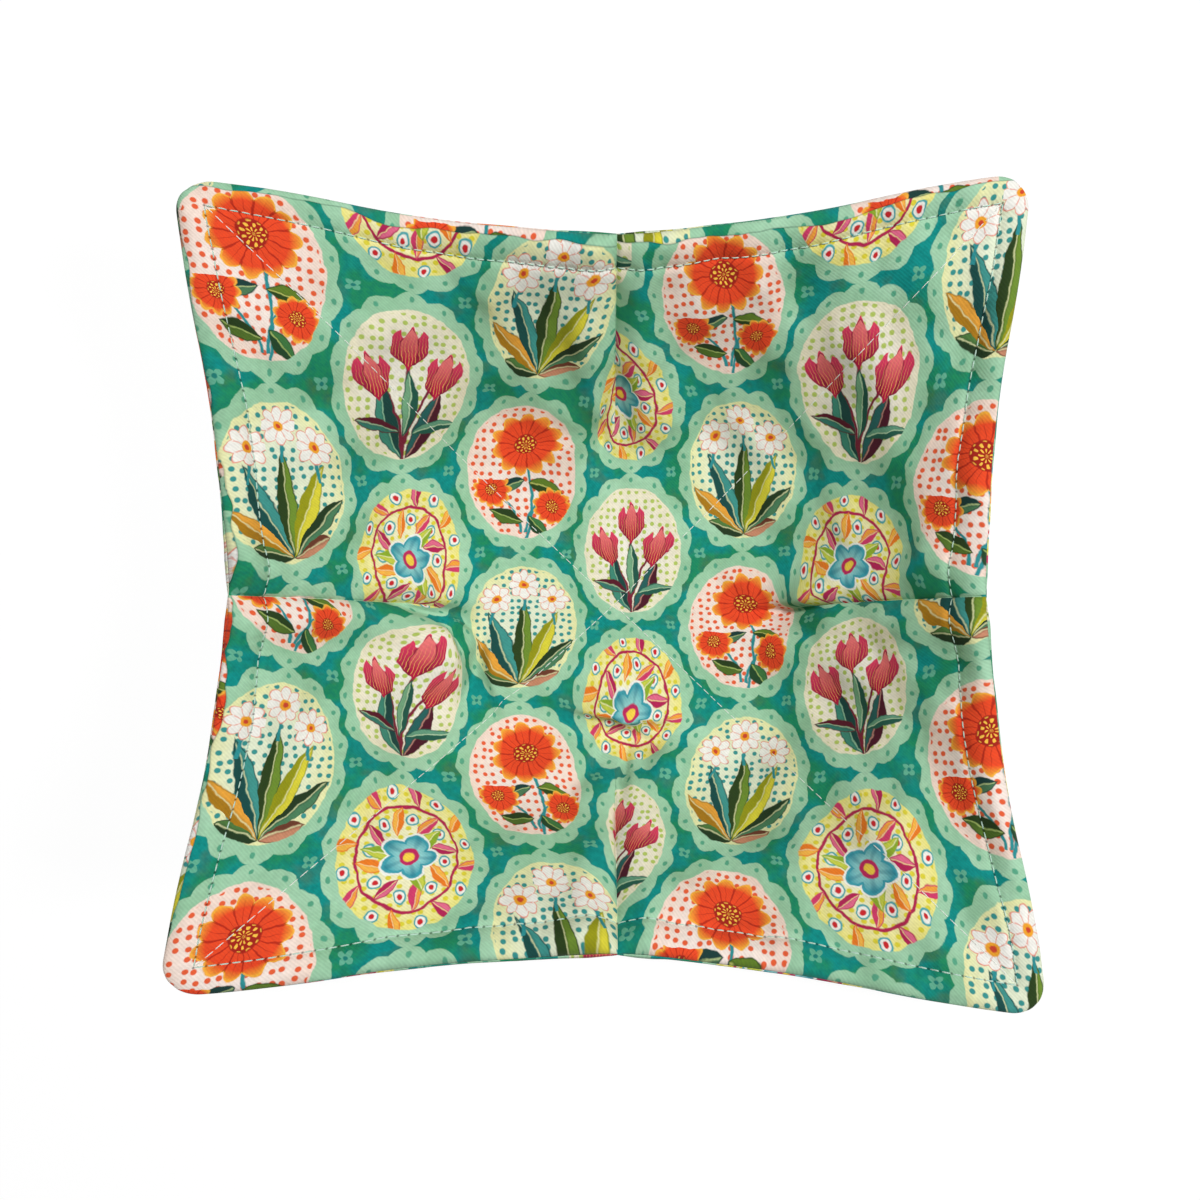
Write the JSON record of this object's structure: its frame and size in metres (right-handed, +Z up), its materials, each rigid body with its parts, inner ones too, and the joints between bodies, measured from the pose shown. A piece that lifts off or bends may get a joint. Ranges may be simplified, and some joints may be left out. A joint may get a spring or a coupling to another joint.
{
  "type": "bowl cozy",
  "caption": "Quilted cotton bowl cozy: a square cloth dish with four darted sides and flared corners that holds a hot bowl.",
  "frame": {"origin": "on the surface it stands on, under the middle of the base, where the lines of the four darts cross", "axes": "+Z up; +X to the right side and +Y to the back side, each through the middle of a side's dart"},
  "size_m": [0.2199, 0.2132, 0.0697],
  "materials": {
    "printed_cotton": "matte plain-weave quilting cotton over batting, medallion print on teal",
    "thread": "pale cotton thread, topstitched and quilted"
  },
  "bodies": {
    "root": {"inner_panel": "printed_cotton", "outer_panel": "printed_cotton"}
  },
  "joints": []
}
